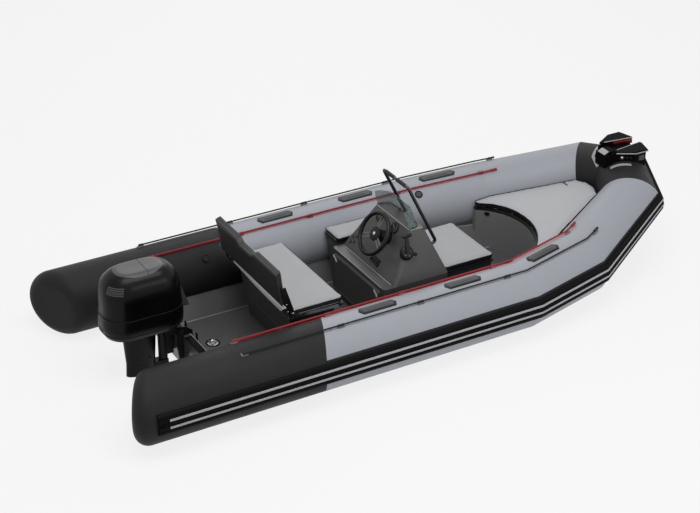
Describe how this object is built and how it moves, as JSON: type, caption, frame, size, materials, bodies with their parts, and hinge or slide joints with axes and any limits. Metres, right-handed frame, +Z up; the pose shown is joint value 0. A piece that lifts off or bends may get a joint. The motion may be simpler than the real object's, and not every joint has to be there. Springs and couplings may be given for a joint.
{
  "type": "rigid inflatable boat",
  "caption": "Rigid inflatable boat with an offset steering console, bench seat with a folding backrest, sundeck, boxed seats and a tilting outboard motor.",
  "frame": {"origin": "on the waterline and the centre plane, amidships, with the keel below it", "axes": "+X forward to the bow, +Y to port, +Z up"},
  "size_m": [5.0093, 2.1598, 1.625],
  "materials": {
    "black_fabric": "matt",
    "grey_fabric": "matt",
    "strake_rubber": "satin",
    "hull_gel": "gloss",
    "liner_moulding": "satin",
    "dark_moulding": "satin",
    "cushion_grey": "matt",
    "cushion_charcoal": "matt",
    "board": "matt",
    "black_trim": "satin",
    "rope_red": "matt",
    "rope_black": "matt",
    "patch_rubber": "matt",
    "black_rail": "satin",
    "screen": "clear",
    "steel": "brushed",
    "motor_paint": "gloss",
    "motor_casting": "satin",
    "engine_block": "rough",
    "red_pad": "satin",
    "dial": "gloss"
  },
  "bodies": {
    "boat": {"bow_locker": "dark_moulding", "bow_step": "black_trim", "bow_step_pad": "patch_rubber", "carry_handles": "patch_rubber", "chute_guides": "red_pad", "clamp_bracket": "motor_casting", "cockpit_liner": "liner_moulding", "console": "dark_moulding", "console_seat_box": "dark_moulding", "gauges": "dial", "grab_rail": "black_rail", "helm_boss": "black_trim", "hull": "hull_gel", "inflation_valves": "black_trim", "inner_grab_rope_patches": "patch_rubber", "inner_grab_ropes": "rope_red", "outer_lifeline_patches": "patch_rubber", "outer_lifelines": "rope_black", "seat_pod": "dark_moulding", "side_box": "dark_moulding", "strake_port": "strake_rubber", "strake_starboard": "strake_rubber", "throttle_control": "black_trim", "towing_eyes": "steel", "tube_bow": "black_fabric", "tube_main_port": "grey_fabric", "tube_main_starboard": "grey_fabric", "tube_stern_port": "black_fabric", "tube_stern_starboard": "black_fabric", "windscreen": "screen"},
    "seat_base": {"seat_lid": "board", "seat_cushion": "cushion_grey", "seat_rails": "steel"},
    "seat_back": {"backrest": "cushion_charcoal", "backrest_arms": "black_trim"},
    "door": {"console_door": "dark_moulding", "door_latches": "steel"},
    "side_seat": {"side_box_lid": "board", "side_box_cushion": "cushion_grey"},
    "front_seat": {"console_seat_lid": "board", "console_seat_cushion": "cushion_grey"},
    "bow_seat": {"sundeck_lid": "board", "sundeck_cushion": "cushion_grey"},
    "motor_swivel": {"swivel_bracket": "motor_casting"},
    "motor": {"motor_leg": "motor_paint", "gearcase": "motor_paint", "lower_cowl": "motor_paint", "cowl": "motor_paint", "powerhead": "engine_block"},
    "screw": {"propeller": "motor_paint"},
    "helm": {"steering_wheel": "black_trim"}
  },
  "joints": [
    {"name": "seat_lid_hinge", "type": "hinge", "parent": "boat", "child": "seat_base", "pos_m": [-0.59, 0, 0.412], "axis": [0, 1, 0], "range_deg": [0, 60]},
    {"name": "backrest_fold", "type": "hinge", "parent": "seat_base", "child": "seat_back", "pos_m": [-1.032, 0, 0.47], "axis": [0, 1, 0], "range_deg": [0, 80]},
    {"name": "console_door_hinge", "type": "hinge", "parent": "boat", "child": "door", "pos_m": [-0.256, 0, 0.068], "axis": [0, -1, 0], "range_deg": [0, 90]},
    {"name": "side_seat_hinge", "type": "hinge", "parent": "boat", "child": "side_seat", "pos_m": [0.335, 0, 0.396], "axis": [0, 1, 0], "range_deg": [0, 80]},
    {"name": "front_seat_hinge", "type": "hinge", "parent": "boat", "child": "front_seat", "pos_m": [0.806, 0, 0.338], "axis": [0, 1, 0], "range_deg": [0, 85]},
    {"name": "bow_seat_hinge", "type": "hinge", "parent": "boat", "child": "bow_seat", "pos_m": [1.976, 0, 0.554], "axis": [0, 1, 0], "range_deg": [0, 65]},
    {"name": "motor_tilt", "type": "hinge", "parent": "boat", "child": "motor_swivel", "pos_m": [-1.722, 0, 0.317], "axis": [0, 1, 0], "range_deg": [0, 68]},
    {"name": "motor_steer", "type": "hinge", "parent": "motor_swivel", "child": "motor", "pos_m": [-1.835, 0, 0.205], "axis": [0, 0, 1], "range_deg": [-30, 30]},
    {"name": "prop_spin", "type": "hinge", "parent": "motor", "child": "screw", "pos_m": [-2.19, 0, -0.352], "axis": [1, 0, 0], "continuous": true},
    {"name": "wheel_turn", "type": "hinge", "parent": "boat", "child": "helm", "pos_m": [-0.135, -0.12, 0.706], "axis": [0.866, 0, -0.5], "range_deg": [-540, 540]}
  ],
  "couplings": [
    {"joint": "wheel_turn", "follows": "motor_steer", "ratio": 18}
  ]
}
